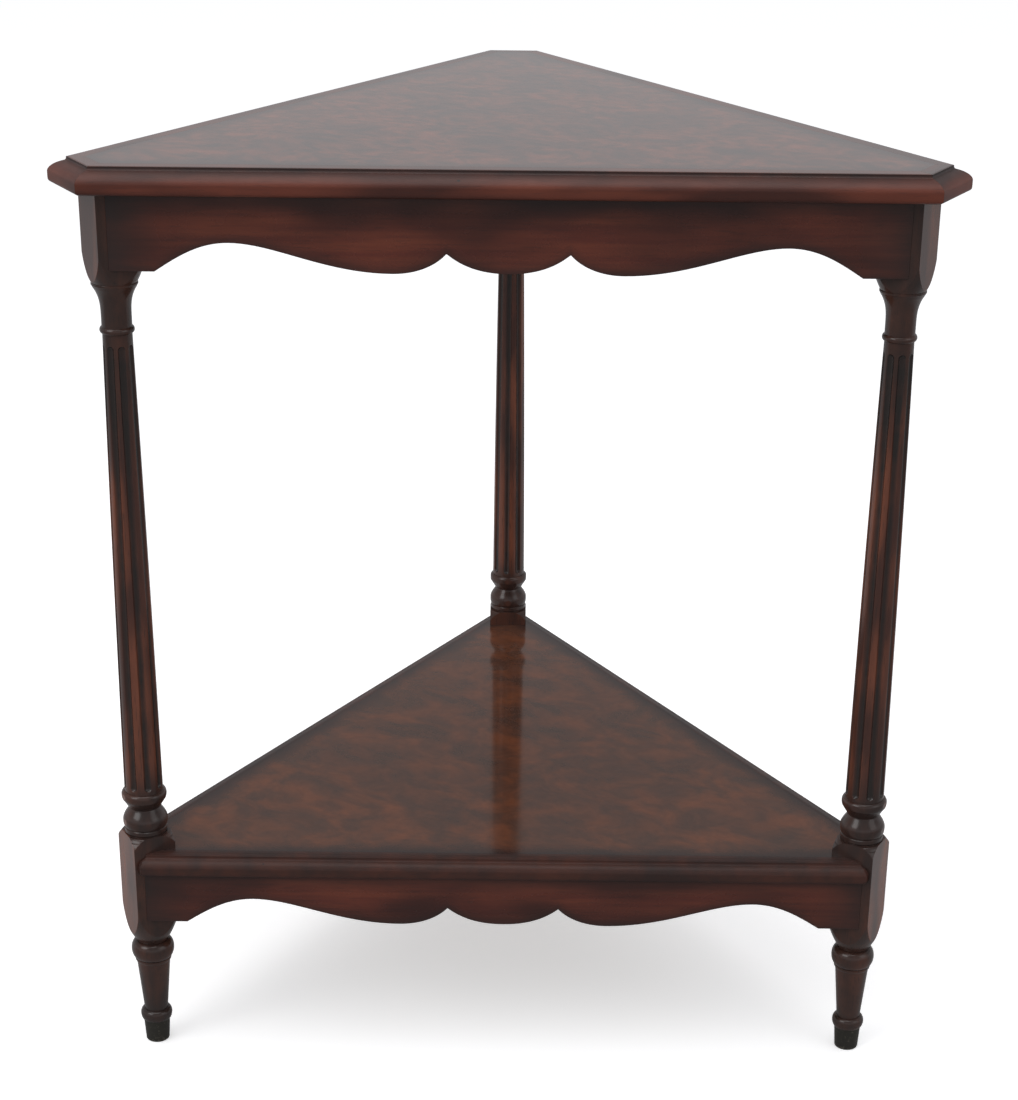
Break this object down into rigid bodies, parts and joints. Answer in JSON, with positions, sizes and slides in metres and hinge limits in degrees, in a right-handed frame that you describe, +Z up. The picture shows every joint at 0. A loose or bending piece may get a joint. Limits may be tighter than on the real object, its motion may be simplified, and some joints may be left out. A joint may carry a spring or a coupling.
{
  "type": "corner table",
  "caption": "Triangular side table with clipped corners, moulded veneered top and lower shelf, scalloped aprons and fluted turned legs in metal ferrules.",
  "frame": {"origin": "on the floor, under the middle of the table's bounding box", "axes": "+Z up; -Y is the front side, with a leg at each end, and +Y points to the back leg; +X to the right as the front is seen"},
  "size_m": [0.672, 0.582, 0.738],
  "materials": {
    "mahogany": "dark red-brown polish",
    "burl_veneer": "mottled red-brown burl under a high polish",
    "core_board": "raw core board",
    "block_wood": "sawn secondary wood",
    "ferrule_metal": "darkened, slightly worn metal",
    "screw_steel": "zinc-plated"
  },
  "bodies": {
    "root": {"leg_back": "mahogany", "ferrule_back": "ferrule_metal", "leg_front_left": "mahogany", "ferrule_front_left": "ferrule_metal", "leg_front_right": "mahogany", "ferrule_front_right": "ferrule_metal", "top_core": "core_board", "top_veneer": "burl_veneer", "top_edge_front": "mahogany", "top_edge_right": "mahogany", "top_edge_left": "mahogany", "top_corner_edge_back": "mahogany", "top_corner_edge_front_left": "mahogany", "top_corner_edge_front_right": "mahogany", "shelf_core": "core_board", "shelf_veneer": "burl_veneer", "shelf_edge_front": "mahogany", "shelf_edge_right": "mahogany", "shelf_edge_left": "mahogany", "upper_apron_front": "mahogany", "lower_apron_front": "mahogany", "upper_apron_right": "mahogany", "lower_apron_right": "mahogany", "upper_apron_left": "mahogany", "lower_apron_left": "mahogany", "upper_corner_block_back": "block_wood", "lower_corner_block_back": "block_wood", "upper_corner_block_front_left": "block_wood", "lower_corner_block_front_left": "block_wood", "upper_corner_block_front_right": "block_wood", "lower_corner_block_front_right": "block_wood", "top_screw_1_back": "screw_steel", "top_screw_2_back": "screw_steel", "shelf_screw_1_back": "screw_steel", "shelf_screw_2_back": "screw_steel", "upper_leg_screw_back": "screw_steel", "lower_leg_screw_back": "screw_steel", "top_screw_1_front_left": "screw_steel", "top_screw_2_front_left": "screw_steel", "shelf_screw_1_front_left": "screw_steel", "shelf_screw_2_front_left": "screw_steel", "upper_leg_screw_front_left": "screw_steel", "lower_leg_screw_front_left": "screw_steel", "top_screw_1_front_right": "screw_steel", "top_screw_2_front_right": "screw_steel", "shelf_screw_1_front_right": "screw_steel", "shelf_screw_2_front_right": "screw_steel", "upper_leg_screw_front_right": "screw_steel", "lower_leg_screw_front_right": "screw_steel"}
  },
  "joints": []
}
